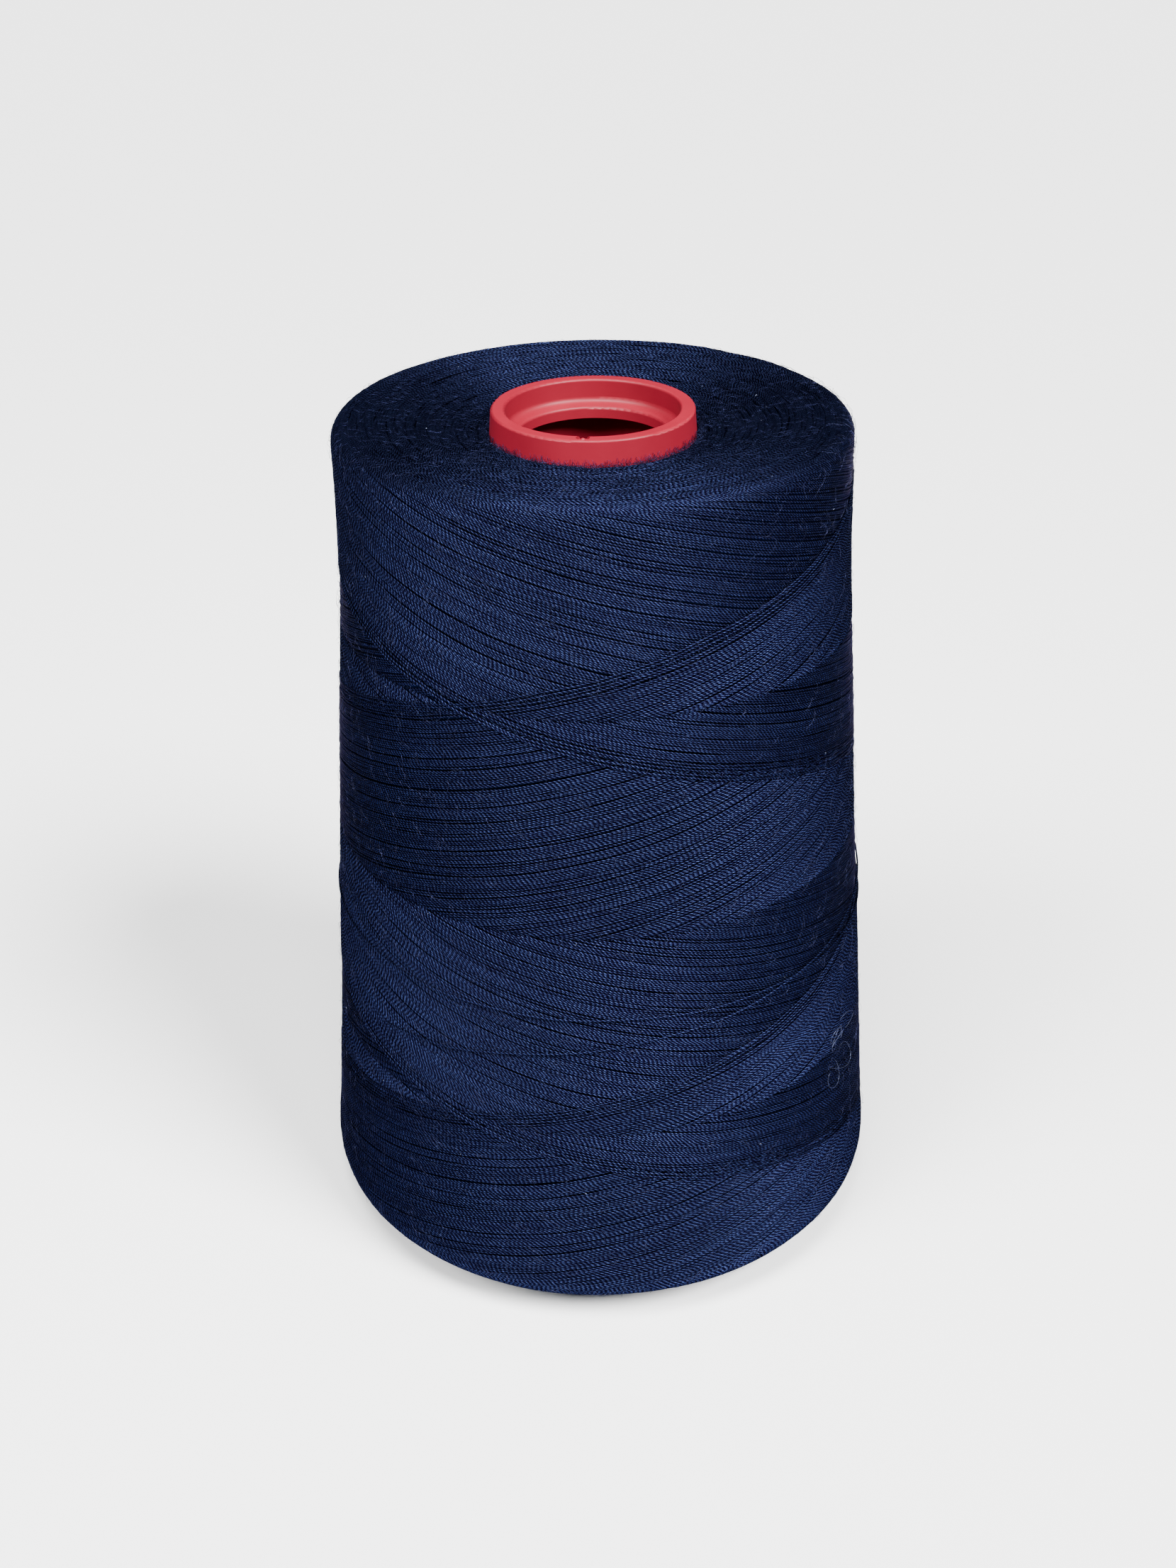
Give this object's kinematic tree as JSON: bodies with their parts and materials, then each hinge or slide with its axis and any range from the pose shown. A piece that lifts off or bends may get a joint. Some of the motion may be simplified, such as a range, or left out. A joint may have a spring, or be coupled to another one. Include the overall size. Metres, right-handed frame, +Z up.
{
  "type": "sewing thread cone",
  "caption": "Cone of sewing thread: navy thread cross-wound on a hollow tapered plastic cone with a recessed nose and a collar for a spindle.",
  "frame": {"origin": "centre of the foot ring, on the surface that the cone stands on", "axes": "+Z up the cone's axis towards the nose, -Y towards the viewer's front"},
  "size_m": [0.0752, 0.0752, 0.11],
  "materials": {
    "red_plastic": "satin injection moulding",
    "navy_thread": "spun thread, cross-wound, with loose lint"
  },
  "bodies": {
    "root": {"core_cone": "red_plastic", "thread_package": "navy_thread"}
  },
  "joints": []
}
